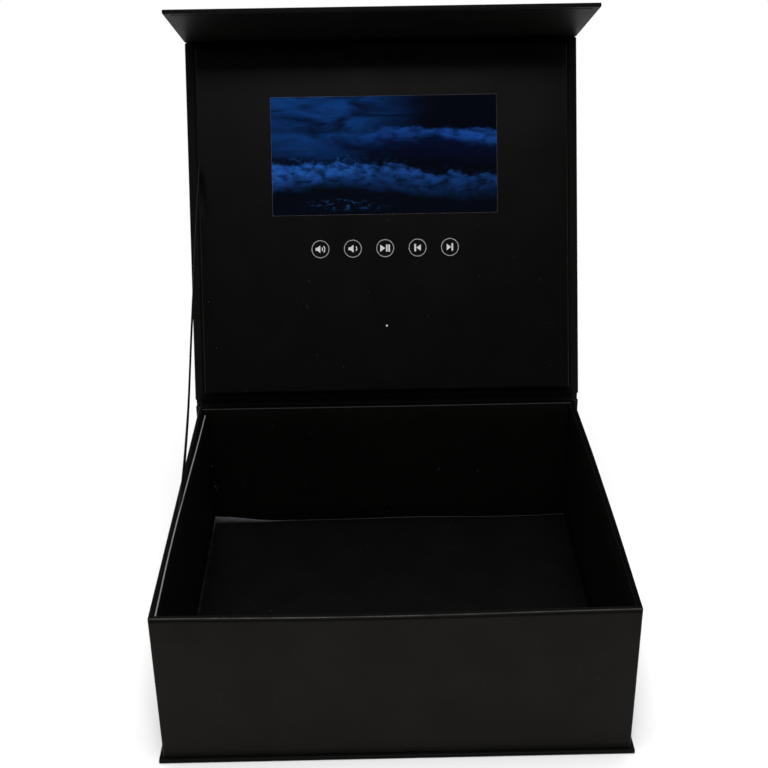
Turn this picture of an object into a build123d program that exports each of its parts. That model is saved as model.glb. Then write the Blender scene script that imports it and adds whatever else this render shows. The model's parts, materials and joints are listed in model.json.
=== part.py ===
from build123d import *
import os
from math import cos, radians, sin

# Presentation box with a 7-inch screen in its lid, standing open.
# Millimetres. Origin: centre of the base panel's underside, +Z up, -Y towards the tray's front, +X right.

# ---- cover: greyboard panels wrapped in black paper
cover_width = 267.0      # base, spine, lid and flap panels, side to side
cover_depth = 247.0      # base panel's front edge to the spine's outer face
board = 2.0              # greyboard of every panel and wall
paper = 0.25             # black wrap on each face and edge of a board
lining = 0.2             # lining sheet on the cover's inner faces
turn_in = 15.0           # width of the wrap folded over onto a panel's inner face
lining_margin = 4.5      # cover's edge to the lining sheet's edge
edge_radius = 0.5        # softness of a wrapped edge
fold_room = 0.45         # board end to the neighbouring fold, over the paper

# ---- tray
lip_front = 2.3          # base panel in front of the tray
lip_side = 2.25          # base panel beside the tray, each side
tray_height = 95.3       # tray's underside to its rim
rim_turn_in = 25.0       # wrap folded down inside the tray
liner = 0.8              # loose card liners of the walls and floor
liner_drop = 0.6         # rim to the top edge of a wall liner
ribbon_pocket = 0.8      # room behind the left wall liner for the ribbon's tail
liner_play = 0.25        # floor liner to the wall liners

# ---- opened lid and its flap
lean = 21.765            # degrees, how far the opened lid leans back from upright
lid_gap = 0.1            # closed lid above the rim
hinge_fold = 1.5         # hinge axis to the lid panel's rear edge
rim_rub = 0.02           # hinge lining above the back rim, which it only lies on
flap_play = 0.8          # closed flap to the tray's front
flap_foot_gap = 0.3      # closed flap's edge above the base panel
magnet_edge = 23.0       # magnets' centres from the flap's free edge
magnet_spread = 140.0    # between the two magnets' centres
magnet_diameter = 15.0
magnet_thickness = 1.5
catch_thickness = 1.0    # steel discs in the tray's front wall
disc_play = 0.2          # round pocket around a disc, each side

# ---- raised block on the lid
block_play = 1.5         # closed block to the front and back wall liners
block_side_play = 2.7    # closed block to the side wall liners
block_height = 10.0      # over the lid's lining
card = 0.8               # facing card over the block
skirt = 0.4              # facing card's folded sides
rail_width = 8.0         # board strips along the block's edges
rail_gap = 0.35          # skirt to rail, where the ribbon's tail lies
pocket_play = 0.4        # foam pocket around a part, each side

# ---- screen
window_width = 153.0
window_height = 79.4
window_x = 0.9           # window's centre from the box's middle
screen_width = 165.0     # module with its bezel
screen_height = 100.0
screen_margin = 22.6     # module to the flap end of the block's rail
bezel = 0.3
bezel_rim_x = 4.5        # bezel's front frame, each side
bezel_rim_s = 6.5
glass = 1.3
backlight = 2.8
screen_flex_width = 16.0
flex_apart = 3.0         # screen's flat cable beside the keys' one
flex = 0.2
flex_landing = 4.0       # flat cable's end soldered to a board

# ---- keys
key_names = ("volume_up", "volume_down", "play_pause", "previous", "next")
key_pitch = 22.1
key_x = 0.4              # middle key from the box's middle
key_drop = 12.8          # key row below the screen module
cap_diameter = 12.8
cap_hole_play = 0.3      # cap to its hole, each side
cap_proud = 0.3          # cap above the card
cap_flange = 0.8         # thickness of the flange under the card
cap_flange_width = 1.0   # flange beyond the cap
key_travel = 0.4
stem_diameter = 3.0
stem_length = 1.2        # from the flange to the switch's plunger
plunger_diameter = 3.2
plunger_proud = 0.6      # plunger above its switch
plunger_sunk = 1.0       # plunger inside its switch
plunger_play = 0.3       # radial, in the switch's bore
bore_spare = 0.2         # bore below the pressed plunger
switch_side = 6.0
switch_height = 3.1
circuit = 1.2            # circuit board thickness
key_board_height = 15.4  # along the lid
key_board_end = 9.0      # first key's centre to the board's left end
key_board_tail = 14.0    # last key's centre to its right end, where the flat cable leaves
key_flex_width = 5.0

# ---- light sensor
sensor_x = 0.6
sensor_s = 51.2
sensor_hole = 1.8
sensor_tip = 1.4
sensor_body = 3.0
sensor_board = 8.0
sensor_board_t = 0.8
sensor_body_height = 2.2
sensor_recess = 0.1      # lens tip below the card's face

# ---- main board with its charging socket
main_lap = 6.5           # main board's left edge inside the key board's right end
main_height = 36.0
board_gap = 4.9          # main board to the key board
tongue_width = 12.0      # board's tongue that carries the socket through the rail
socket_width = 9.0
socket_depth = 7.3
socket_height = 3.2
socket_wall = 0.35
socket_tongue = 0.7
socket_back = 1.0
notch_play = 1.0         # rail's notch around the socket
board_n = 2.2            # battery and main board above the block's floor
chips = (                # from the board's middle across and along, width, length, height
    (0.0, 0.0, 12.0, 12.0, 1.2),
    (14.0, -9.0, 6.0, 8.0, 1.0),
    (-17.5, -11.5, 5.0, 5.0, 1.5),
)
coil_x = -17.0
coil_s = 10.0
coil_diameter = 5.0
coil_height = 1.8

# ---- battery and speaker
battery_width = 60.0
battery_height = 65.0
battery_thickness = 5.0
battery_side = 1.5       # foam's left edge to the battery
battery_end = 6.3        # foam's hinge end to the battery
speaker_width = 40.0
speaker_height = 28.0
speaker_thickness = 5.0
speaker_gap = 10.0       # battery to the speaker
speaker_end = 0.8        # foam's hinge end to the speaker
speaker_wall = 2.5
cone_rim = 1.0           # flat rim around the cone
cone_depth = 1.2
cone_skin = 0.4
cone_slope = 35.0        # degrees

# ---- wires inside the block
lead_diameter = 1.2
lead_bend = 6.0          # radius of every bend
lead_gap = 0.5           # between the two wires of a pair
lead_lift = 0.05         # wire above the board that it is soldered to
lead_landing = 4.0       # wire's soldered end over the main board
lead_spread = 10.0       # from one pair's landing to the next, along the main board
battery_lead_in = 30.0   # wires from the battery's hinge end
battery_lead_out = 30.0  # their straight start
sensor_lead_in = 1.5     # wires' start on the sensor's board
sensor_lead_out = 16.0
speaker_lead_in = 8.0    # wires from the speaker's far end
speaker_lead_out = 10.0  # their straight end
speaker_lead_rise = 16.0 # slanted run before it
channel_play = 0.8       # foam channel around a pair of wires

# ---- ribbon stay
ribbon_width = 10.0
ribbon = 0.3
ribbon_wall_tail = 17.0  # glued length behind the wall liner
ribbon_lid_tail = 5.0    # glued length inside the block
ribbon_lid_s = 158.3     # where that starts, from the hinge axis
ribbon_lid_n = 10.5      # and above the lid's outer face
ribbon_wall_y = -6.0     # where it passes the rim
ribbon_rub = 0.05        # ribbon to the wall liner behind which it is glued
ribbon_slit_play = 0.8   # slit in the facing card around the ribbon, each side

# ---- worked out from the above
panel = board + 2 * paper
half = cover_width / 2
pivot_y = cover_depth / 2
deck = panel + lining                       # tray stands on this
rim_z = deck + tray_height
pivot_z = rim_z + lid_gap + lining + panel  # hinge axis lies in the cover's outer paper
front_y = -cover_depth / 2 + lip_front
back_y = cover_depth / 2 - panel
tray_half = half - lip_side
wall = panel
floor_z = deck + paper + board
inner_front = front_y + wall
inner_back = back_y - wall
inner_half = tray_half - wall

crease_inner = pivot_y - front_y + flap_play    # hinge axis to the flap's inner face
crease = crease_inner + lining + panel          # to the flap's outer face and its own hinge axis
flap_tip = pivot_z - panel - flap_foot_gap      # flap's free edge from that axis
lid_end = crease_inner - fold_room + lining
flap_root = panel + lining + fold_room - paper

block_floor = panel + lining
card_under = block_floor + block_height - card
card_face = block_floor + block_height
block_hinge = pivot_y - inner_back + liner + block_play
block_flap = pivot_y - inner_front - liner - block_play
block_half = inner_half - liner - block_side_play
rail_half = block_half - skirt - rail_gap
foam_half = rail_half - rail_width
rail_hinge = block_hinge + skirt
rail_flap = block_flap - skirt
foam_hinge = rail_hinge + rail_width
foam_flap = rail_flap - rail_width

screen_back = card_under - bezel - glass - backlight
screen_s1 = rail_flap - screen_margin
screen_s0 = screen_s1 - screen_height
window_s = (screen_s0 + screen_s1) / 2
cap_top = card_face + cap_proud
plunger_top = card_under - cap_flange - stem_length
switch_top = plunger_top - plunger_proud
key_top = switch_top - switch_height
key_floor = key_top - circuit
key_s = screen_s0 - key_drop
main_floor = block_floor + board_n
main_top = main_floor + circuit
main_right = foam_half - pocket_play
main_s1 = key_s - key_board_height / 2 - board_gap
main_s0 = main_s1 - main_height
main_s = (main_s0 + main_s1) / 2
lead_level = main_top + lead_lift + lead_diameter / 2
speaker_back = card_under - speaker_thickness
sensor_floor = card_under - sensor_body_height - sensor_board_t
key_xs = [key_x + (i - (len(key_names) - 1) / 2) * key_pitch for i in range(len(key_names))]
key_board_x0 = key_xs[0] - key_board_end
key_board_x1 = key_xs[-1] + key_board_tail
main_left = key_board_x1 - main_lap
key_flex_x0 = (main_left + key_board_x1 - key_flex_width) / 2
screen_flex_x0 = key_flex_x0 + key_flex_width + flex_apart
screen_flex_x1 = screen_flex_x0 + screen_flex_width

# Limits in the lid's frame: X low and high, along low and high.
screen_area = (window_x - screen_width / 2, window_x + screen_width / 2, screen_s0, screen_s1)
key_area = (key_board_x0, key_board_x1, key_s - key_board_height / 2, key_s + key_board_height / 2)
main_area = (main_left, main_right, main_s0, main_s1)
battery_x0 = battery_side - foam_half
battery_s0 = foam_hinge + battery_end
battery_area = (battery_x0, battery_x0 + battery_width, battery_s0, battery_s0 + battery_height)
speaker_x0 = battery_area[1] + speaker_gap
speaker_s0 = foam_hinge + speaker_end
speaker_area = (speaker_x0, speaker_x0 + speaker_width, speaker_s0, speaker_s0 + speaker_height)
speaker_x = speaker_x0 + speaker_width / 2
speaker_s = speaker_s0 + speaker_height / 2
sensor_area = (
    sensor_x - sensor_board / 2, sensor_x + sensor_board / 2,
    sensor_s - sensor_board / 2, sensor_s + sensor_board / 2,
)

# The lid's own frame: X across, Y away from the hinge axis (s), Z out of the inner face (n).
lid_frame = Plane(
    origin=(0, pivot_y, pivot_z),
    x_dir=(1, 0, 0),
    z_dir=(0, -cos(radians(lean)), sin(radians(lean))),
)
nodes = {}


def slab(x0, x1, y0, y1, z0, z1):
    """A box between two corners."""
    middle = Pos((x0 + x1) / 2, (y0 + y1) / 2, (z0 + z1) / 2)
    return middle * Box(x1 - x0, y1 - y0, z1 - z0)


def grown(area, play):
    """A rectangle's limits with play added on its four sides."""
    x0, x1, y0, y1 = area
    return (x0 - play, x1 + play, y0 - play, y1 + play)


def disc(x, y, z0, z1, diameter):
    """An upright round between two heights."""
    return Pos(x, y, (z0 + z1) / 2) * Cylinder(diameter / 2, z1 - z0)


def keep(name, solid):
    """A node in the box's own frame."""
    nodes[name] = solid


def keep_lid(name, solid):
    """A node modelled flat in the lid's frame, turned to the opened lid's place."""
    nodes[name] = lid_frame.location * solid


def seen_from_lid(y, z):
    """A point (y, z) of the box in the opened lid's (s, n)."""
    a = radians(lean)
    return (
        (y - pivot_y) * sin(a) + (z - pivot_z) * cos(a),
        (z - pivot_z) * sin(a) - (y - pivot_y) * cos(a),
    )


def strip_outline(points, thickness):
    """A closed outline that follows a line of points, half the thickness to each side."""
    def unit(a, b):
        length = ((b[0] - a[0]) ** 2 + (b[1] - a[1]) ** 2) ** 0.5
        return ((b[0] - a[0]) / length, (b[1] - a[1]) / length)

    steps = [unit(a, b) for a, b in zip(points, points[1:])]
    left, right = [], []
    for i, (px, py) in enumerate(points):
        before = steps[max(i - 1, 0)]
        after = steps[min(i, len(steps) - 1)]
        mx, my = -(before[1] + after[1]), before[0] + after[0]
        scale = thickness / (mx * mx + my * my)
        left.append((px + mx * scale, py + my * scale))
        right.append((px - mx * scale, py - my * scale))
    return left + right[::-1]


def strip_across(points, thickness, x0, x1):
    """A thin strip bent along X: its line is given in (y, z)."""
    outline = strip_outline(points, thickness)
    face = Plane.YZ * make_face(Polyline(*outline, close=True))
    return Pos(x0, 0, 0) * extrude(face, x1 - x0)


def wrap_around(x0, x1, y0, y1, z0, z1):
    """The paper skin of a board between the outer limits, its turn-in on the upper face."""
    outer = slab(x0, x1, y0, y1, z0, z1)
    outer = fillet(outer.edges(), edge_radius)
    inner = slab(x0 + paper, x1 - paper, y0 + paper, y1 - paper, z0 + paper, z1 - paper)
    opening = slab(x0 + turn_in, x1 - turn_in, y0 + turn_in, y1 - turn_in, z1 - paper, z1)
    return outer - inner - opening


def wire_pair(points, across):
    """Two wires side by side along one route, by straight runs joined by tangent arcs."""
    shift = (lead_diameter + lead_gap) / 2
    made = []
    for side in (-shift, shift):
        moved = [(x + side * across[0], s + side * across[1], n) for x, s, n in points]
        path = FilletPolyline(*moved, radius=lead_bend)
        start = Plane(origin=path @ 0, z_dir=path % 0)
        made.append(sweep(start * Circle(lead_diameter / 2), path=path))
    return Compound(children=made)


# ---- base and spine
def base_panel():
    y0, y1 = -cover_depth / 2, back_y - paper
    keep("base_board", slab(-half + paper, half - paper, y0 + paper, y1 - paper, paper, paper + board))
    keep("base_wrap", wrap_around(-half, half, y0, y1, 0, panel))
    edge = half - lining_margin
    keep("base_lining", slab(-edge, edge, y0 + lining_margin, y1 - lining_margin, panel, deck))


def spine_panel():
    z0, z1 = panel + paper, rim_z
    y0, y1 = back_y, pivot_y
    keep("spine_board", slab(-half + paper, half - paper, y0 + paper, y1 - paper, z0 + paper, z1 - paper))
    outer = slab(-half, half, y0, y1, z0, z1)
    outer = fillet(outer.edges(), edge_radius)
    inner = slab(-half + paper, half - paper, y0 + paper, y1 - paper, z0 + paper, z1 - paper)
    opening = slab(-half + turn_in, half - turn_in, y0, y0 + paper, z0 + turn_in, z1 - turn_in)
    corner = [
        (back_y - paper - edge_radius, paper / 2),
        (pivot_y - paper / 2 - edge_radius, paper / 2),
        (pivot_y - paper / 2, paper / 2 + edge_radius),
        (pivot_y - paper / 2, z0 + edge_radius),
    ]
    fold = strip_across(corner, paper, -half + edge_radius, half - edge_radius)
    fold = fold - slab(-half, half, 0, back_y - paper, 0, panel)
    keep("spine_wrap", (outer - inner - opening) + fold)


# ---- tray
def tray_boards():
    outer_x = tray_half - paper
    inner_x = outer_x - board
    outer_front, outer_back = front_y + paper, back_y - paper
    z0, z1 = deck + paper, rim_z - paper
    front = slab(-outer_x, outer_x, outer_front, outer_front + board, z0, z1)
    pocket_depth = catch_thickness + disc_play / 2
    catch_z = pivot_z - flap_tip + magnet_edge
    catches = []
    for x in (-magnet_spread / 2, magnet_spread / 2):
        turned = Pos(x, outer_front, catch_z) * Rot(X=-90)
        radius = magnet_diameter / 2
        hole = turned * Pos(0, 0, pocket_depth / 2) * Cylinder(radius + disc_play, pocket_depth)
        front = front - hole
        catches.append(turned * Pos(0, 0, catch_thickness / 2) * Cylinder(radius, catch_thickness))
    keep("tray_front_board", front)
    keep("catch_plates", Compound(children=catches))
    keep("tray_back_board", slab(-outer_x, outer_x, outer_back - board, outer_back, z0, z1))
    side_y = (outer_front + board, outer_back - board)
    keep("tray_left_board", slab(-outer_x, -inner_x, *side_y, z0, z1))
    keep("tray_right_board", slab(inner_x, outer_x, *side_y, z0, z1))
    keep("tray_floor_board", slab(-inner_x, inner_x, *side_y, z0, floor_z))


def tray_wrap():
    outer = slab(-tray_half, tray_half, front_y, back_y, deck, rim_z)
    outer = fillet(outer.edges(), edge_radius)
    low, high = deck + paper, rim_z - paper
    boards = slab(
        -tray_half + paper, tray_half - paper, front_y + paper, back_y - paper, low, high
    )
    inside = slab(-inner_half, inner_half, inner_front, inner_back, floor_z, rim_z)
    under = slab(
        -tray_half + turn_in, tray_half - turn_in, front_y + turn_in, back_y - turn_in, deck, low
    )
    turned_z = rim_z - rim_turn_in
    turned = slab(
        -inner_half - paper, inner_half + paper, inner_front - paper, inner_back + paper, turned_z, rim_z
    )
    keep("tray_wrap", outer - (boards - turned) - inside - under)


def tray_liners():
    z0, z1 = floor_z, rim_z - liner_drop
    left = -inner_half + ribbon_pocket
    right = inner_half
    side_y = (inner_front + liner, inner_back - liner)
    keep("liner_left", slab(left, left + liner, *side_y, z0, z1))
    keep("liner_right", slab(right - liner, right, *side_y, z0, z1))
    keep("liner_front", slab(-inner_half, inner_half, inner_front, inner_front + liner, z0, z1))
    keep("liner_back", slab(-inner_half, inner_half, inner_back - liner, inner_back, z0, z1))
    floor_x = (left + liner + liner_play, right - liner - liner_play)
    floor_y = (side_y[0] + liner_play, side_y[1] - liner_play)
    keep("floor_liner", slab(*floor_x, *floor_y, floor_z, floor_z + liner))


# ---- lid and flap panels, in the lid's frame
def lid_panel():
    s0, s1 = hinge_fold, lid_end
    keep_lid("lid_board", slab(-half + paper, half - paper, s0 + paper, s1 - paper, paper, paper + board))
    keep_lid("lid_wrap", wrap_around(-half, half, s0, s1, 0, panel))
    edge = half - lining_margin
    margins = (s0 + lining_margin, s1 - lining_margin)
    keep_lid("lid_lining", slab(-edge, edge, *margins, panel, block_floor))


def flap_panel():
    # Built flat like the lid, its root at the crease, then stood up from the lid's end.
    t0, t1 = flap_root, flap_tip
    stand = Pos(0, crease, 0) * Rot(X=90)
    core = slab(-half + paper, half - paper, t0 + paper, t1 - paper, paper, paper + board)
    magnets = []
    depth = magnet_thickness + disc_play / 2
    for x in (-magnet_spread / 2, magnet_spread / 2):
        middle = flap_tip - magnet_edge
        top = paper + board
        core = core - disc(x, middle, top - depth, top, magnet_diameter + 2 * disc_play)
        magnets.append(disc(x, middle, top - magnet_thickness, top, magnet_diameter))
    edge = half - lining_margin
    sheet = slab(-edge, edge, t0 + lining_margin, t1 - lining_margin, panel, panel + lining)
    keep_lid("flap_board", stand * core)
    keep_lid("flap_wrap", stand * wrap_around(-half, half, t0, t1, 0, panel))
    keep_lid("flap_lining", stand * sheet)
    keep_lid("magnets", stand * Compound(children=magnets))


def hinge_papers():
    """The cover's outer paper and the lining where they bend at the spine and at the crease."""
    side = half - edge_radius
    outer = [
        seen_from_lid(pivot_y - paper / 2, rim_z),
        (0, paper / 2),
        (hinge_fold, paper / 2),
    ]
    # the inner lining climbs from the back rim to the lid's inner face
    inner = [
        seen_from_lid(inner_back, rim_z + rim_rub + lining / 2),
        seen_from_lid(back_y + paper, rim_z + rim_rub + lining / 2),
        (hinge_fold + paper, panel + lining / 2),
        (hinge_fold + lining_margin, panel + lining / 2),
    ]
    keep_lid("lid_hinge_paper", Compound(children=[
        strip_across(outer, paper, -side, side),
        strip_across(inner, lining, -half + lining_margin, half - lining_margin),
    ]))
    corner = [
        (lid_end, paper / 2),
        (crease - paper / 2 - edge_radius, paper / 2),
        (crease - paper / 2, paper / 2 + edge_radius),
        (crease - paper / 2, flap_root),
    ]
    inside = [
        (lid_end - lining_margin, panel + lining / 2),
        (crease_inner + lining / 2, panel + lining / 2),
        (crease_inner + lining / 2, flap_root + lining_margin),
    ]
    keep_lid("flap_hinge_paper", Compound(children=[
        strip_across(corner, paper, -side, side),
        strip_across(inside, lining, -half + lining_margin, half - lining_margin),
    ]))


# ---- block on the lid, in the lid's frame
def block_rails():
    heights = (block_floor, card_under)
    notch = slab(
        foam_half - pocket_play, block_half,
        main_s - socket_width / 2 - notch_play, main_s + socket_width / 2 + notch_play,
        main_floor, main_top + socket_height + notch_play,
    )
    tongue = slab(
        foam_half - pocket_play, block_half,
        main_s - tongue_width / 2 - pocket_play, main_s + tongue_width / 2 + pocket_play,
        main_floor, main_top,
    )
    keep_lid("block_rail_left", slab(-rail_half, -foam_half, rail_hinge, rail_flap, *heights))
    right = slab(foam_half, rail_half, rail_hinge, rail_flap, *heights)
    keep_lid("block_rail_right", right - notch - tongue)
    keep_lid("block_rail_hinge", slab(-foam_half, foam_half, rail_hinge, foam_hinge, *heights))
    keep_lid("block_rail_flap", slab(-foam_half, foam_half, foam_flap, rail_flap, *heights))


def facing_card():
    plate = slab(-block_half, block_half, block_hinge, block_flap, block_floor, card_face)
    plate = fillet(plate.edges().filter_by(Axis.Z), edge_radius)
    plate = fillet(plate.faces().sort_by(Axis.Z)[-1].edges(), edge_radius)
    hollow = slab(
        -block_half + skirt, block_half - skirt, block_hinge + skirt, block_flap - skirt,
        block_floor, card_under,
    )
    window = slab(
        window_x - window_width / 2, window_x + window_width / 2,
        window_s - window_height / 2, window_s + window_height / 2, card_under, card_face,
    )
    plate = plate - hollow - window
    for x in key_xs:
        plate = plate - disc(x, key_s, card_under, card_face, cap_diameter + 2 * cap_hole_play)
    plate = plate - disc(sensor_x, sensor_s, card_under, card_face, sensor_hole)
    port = slab(
        block_half - skirt, block_half,
        main_s - socket_width / 2 - notch_play, main_s + socket_width / 2 + notch_play,
        main_top - notch_play / 2, main_top + socket_height + notch_play / 2,
    )
    frame, length = ribbon_plane()
    reach = ribbon_width / 2 + ribbon_slit_play
    slit = slab(-length / 2, ribbon_lid_tail + ribbon_slit_play, rail_half, block_half, -reach, reach)
    keep_lid("facing_card", plate - port - frame.location * slit)


def screen():
    x0, x1, s0, s1 = screen_area
    frame = slab(*screen_area, screen_back, card_under)
    room = slab(*grown(screen_area, -bezel), screen_back, card_under - bezel)
    view = slab(
        x0 + bezel_rim_x, x1 - bezel_rim_x, s0 + bezel_rim_s, s1 - bezel_rim_s,
        card_under - bezel, card_under,
    )
    flex_level = screen_back + backlight / 2
    flex_slot = slab(screen_flex_x0, screen_flex_x1, s0, s0 + bezel, screen_back, flex_level + flex)
    keep_lid("screen_bezel", frame - room - view - flex_slot)
    glass_back = screen_back + backlight
    inset = grown(screen_area, -bezel)
    keep_lid("screen_backlight", slab(*inset, screen_back, glass_back))
    keep_lid("screen_glass", slab(*inset, glass_back, glass_back + glass))
    quarter = (s0 - main_s1) / 4
    line = [
        (s0 + bezel, flex_level),
        (s0 - quarter, flex_level),
        (main_s1 + quarter, main_top + flex / 2),
        (main_s1 - flex_landing, main_top + flex / 2),
    ]
    keep_lid("screen_flat_cable", strip_across(line, flex, screen_flex_x0, screen_flex_x1))


def main_board():
    plate = slab(*main_area, main_floor, main_top)
    reach = tongue_width / 2
    tongue = slab(main_right, rail_half, main_s - reach, main_s + reach, main_floor, main_top)
    keep_lid("main_board", plate + tongue)
    middle = (main_left + main_right) / 2
    parts = [disc(middle + coil_x, main_s + coil_s, main_top, main_top + coil_height, coil_diameter)]
    for across, along, width, length, height in chips:
        x0 = middle + across - width / 2
        s0 = main_s + along - length / 2
        parts.append(slab(x0, x0 + width, s0, s0 + length, main_top, main_top + height))
    keep_lid("board_chips", Compound(children=parts))


def charging_socket():
    x0, x1 = block_half - socket_depth, block_half
    s0, s1 = main_s - socket_width / 2, main_s + socket_width / 2
    n0, n1 = main_top, main_top + socket_height
    corner = socket_height / 3
    shell = slab(x0, x1, s0, s1, n0, n1)
    shell = fillet(shell.edges().filter_by(Axis.X), corner)
    mouth = slab(
        x0 + socket_back, x1, s0 + socket_wall, s1 - socket_wall, n0 + socket_wall, n1 - socket_wall
    )
    mouth = fillet(mouth.edges().filter_by(Axis.X), corner - socket_wall)
    middle = (n0 + n1) / 2
    blade = slab(
        x0 + socket_back, x1 - socket_back,
        s0 + 4 * socket_wall, s1 - 4 * socket_wall,
        middle - socket_tongue / 2, middle + socket_tongue / 2,
    )
    keep_lid("charging_socket", shell - mouth + blade)


def battery():
    pouch = slab(*battery_area, main_floor, main_floor + battery_thickness)
    pouch = fillet(pouch.edges().filter_by(Axis.Y), battery_thickness / 4)
    keep_lid("battery", pouch)
    x1, start_s = battery_area[1], battery_area[2] + battery_lead_in
    end_s = main_s + lead_spread
    route = [
        (x1, start_s, lead_level),
        (x1 + battery_lead_out, start_s, lead_level),
        (main_left - battery_lead_out, end_s, lead_level),
        (main_left + lead_landing, end_s, lead_level),
    ]
    keep_lid("battery_leads", wire_pair(route, (0, 1)))


def speaker():
    frame = slab(*speaker_area, speaker_back, card_under)
    frame = fillet(frame.edges().filter_by(Axis.Z), speaker_wall)
    width, height = speaker_width - 2 * speaker_wall, speaker_height - 2 * speaker_wall
    rim = cone_depth + cone_skin
    mouth = Pos(speaker_x, speaker_s, card_under - rim) * extrude(SlotOverall(width, height), rim)
    keep_lid("speaker_frame", frame - mouth)
    hollow = extrude(SlotOverall(width - 2 * cone_rim, height - 2 * cone_rim), cone_depth, taper=cone_slope)
    hollow = Pos(speaker_x, speaker_s, card_under) * Rot(X=180) * hollow
    keep_lid("speaker_cone", mouth - hollow)
    x1, start_s = speaker_area[1], speaker_area[3] - speaker_lead_in
    turn_x, end_s = main_left - speaker_lead_out, main_s - lead_spread
    route = [
        (x1, start_s, lead_level),
        (turn_x - speaker_lead_rise, start_s, lead_level),
        (turn_x, end_s, lead_level),
        (main_left + lead_landing, end_s, lead_level),
    ]
    keep_lid("speaker_leads", wire_pair(route, (0, 1)))


def key_board():
    s0 = key_area[2]
    keep_lid("key_board", slab(*key_area, key_floor, key_top))
    housings = []
    bore = plunger_diameter + 2 * plunger_play
    depth = plunger_sunk + key_travel + bore_spare
    reach = switch_side / 2
    for x in key_xs:
        body = slab(x - reach, x + reach, key_s - reach, key_s + reach, key_top, switch_top)
        housings.append(body - disc(x, key_s, switch_top - depth, switch_top, bore))
    keep_lid("tact_switches", Compound(children=housings))
    line = [
        (s0 + flex_landing, key_top + flex / 2),
        (s0 - flex / 2, key_top + flex / 2),
        (main_s1 + flex / 2, main_top + flex / 2),
        (main_s1 - flex_landing, main_top + flex / 2),
    ]
    keep_lid("key_flat_cable", strip_across(line, flex, key_flex_x0, key_flex_x0 + key_flex_width))


def keys():
    flange_low = card_under - cap_flange
    flange_diameter = cap_diameter + 2 * cap_flange_width
    for name, x in zip(key_names, key_xs):
        cap = disc(x, key_s, flange_low, cap_top, cap_diameter)
        cap = chamfer(cap.edges().sort_by(Axis.Z)[-1], cap_proud / 2)
        cap = cap + disc(x, key_s, flange_low, card_under, flange_diameter)
        cap = cap + disc(x, key_s, plunger_top, flange_low, stem_diameter)
        keep_lid(name + "_button", cap)
        plunger = disc(x, key_s, switch_top - plunger_sunk, plunger_top, plunger_diameter)
        keep_lid(name + "_plunger", plunger)


def light_sensor():
    board_top = sensor_floor + sensor_board_t
    base = slab(*sensor_area, sensor_floor, board_top)
    body = disc(sensor_x, sensor_s, board_top, card_under, sensor_body)
    tip = disc(sensor_x, sensor_s, card_under, card_face - sensor_recess, sensor_tip)
    tip = fillet(tip.edges().sort_by(Axis.Z)[-1], sensor_tip / 4)
    keep_lid("light_sensor", base + body + tip)
    x1 = sensor_area[1]
    start = board_top + lead_lift + lead_diameter / 2
    route = [
        (x1 - sensor_lead_in, sensor_s, start),
        (x1 + sensor_lead_out, sensor_s, start),
        (main_left - sensor_lead_out, main_s, lead_level),
        (main_left + lead_landing, main_s, lead_level),
    ]
    keep_lid("sensor_leads", wire_pair(route, (0, 1)))


def foam_insert():
    foam = slab(-foam_half, foam_half, foam_hinge, foam_flap, block_floor, card_under)
    pockets = [
        (screen_area, screen_back),
        (main_area, main_floor),
        (battery_area, main_floor),
        (speaker_area, speaker_back),
        (key_area, key_floor),
        (sensor_area, sensor_floor),
    ]
    for area, floor in pockets:
        foam = foam - slab(*grown(area, pocket_play), floor, card_under)
    side = lead_diameter + lead_gap / 2
    channels = [
        (screen_flex_x0, screen_flex_x1, main_s1, screen_s0),
        (key_flex_x0, key_flex_x0 + key_flex_width, main_s1, key_area[2]),
    ]
    runs = [
        (battery_area[1], battery_area[2] + battery_lead_in, main_s + lead_spread),
        (sensor_area[1], sensor_s, main_s),
        (speaker_area[1], speaker_area[3] - speaker_lead_in, main_s - lead_spread),
    ]
    for x, start_s, end_s in runs:
        channels.append((x, main_left, min(start_s, end_s) - side, max(start_s, end_s) + side))
    for area in channels:
        foam = foam - slab(*grown(area, channel_play), main_top - channel_play, card_under)
    keep_lid("foam_insert", foam)


# ---- ribbon that holds the lid open, on the left
def ribbon_plane():
    """In the lid's frame: origin where the ribbon enters the block, X along it, Z across its width."""
    wall_s, wall_n = seen_from_lid(ribbon_wall_y, rim_z)
    run_s, run_n = ribbon_lid_s - wall_s, ribbon_lid_n - wall_n
    length = (run_s ** 2 + run_n ** 2) ** 0.5
    along = (0, run_s / length, run_n / length)
    wide = (0, -along[2], along[1])
    return Plane(origin=(0, ribbon_lid_s, ribbon_lid_n), x_dir=along, z_dir=wide), length


def ribbon_stay():
    frame, length = ribbon_plane()
    wall_x = inner_half - ribbon_pocket + ribbon / 2 + ribbon_rub
    lid_x = rail_half + rail_gap / 2
    line = [
        (-length - ribbon_wall_tail, wall_x),
        (-length, wall_x),
        (0, lid_x),
        (ribbon_lid_tail, lid_x),
    ]
    outline = make_face(Polyline(*strip_outline(line, ribbon), close=True))
    strip = extrude(outline, ribbon_width / 2, both=True)
    keep_lid("ribbon_stay", frame.location * strip)
    total = length + ribbon_wall_tail + ribbon_lid_tail
    print("ribbon", round(length, 1), "mm free,", round(total, 1), "mm in all")


base_panel()
spine_panel()
tray_boards()
tray_wrap()
tray_liners()
lid_panel()
flap_panel()
hinge_papers()
block_rails()
facing_card()
screen()
main_board()
charging_socket()
battery()
speaker()
key_board()
keys()
light_sensor()
foam_insert()
ribbon_stay()

os.makedirs("parts", exist_ok=True)
for name, solid in nodes.items():
    export_step(solid, os.path.join("parts", name + ".step"))
print(len(nodes), "nodes; hinge axis at y", pivot_y, "z", round(pivot_z, 3))
print("crease at s", round(crease, 3), "window at s", round(window_s, 2), "keys at s", round(key_s, 2))
print("wire bends of radius", lead_bend, "mm")
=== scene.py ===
import json
from math import cos, pi, radians, sin

import bpy
from mathutils import Matrix, Vector


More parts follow.
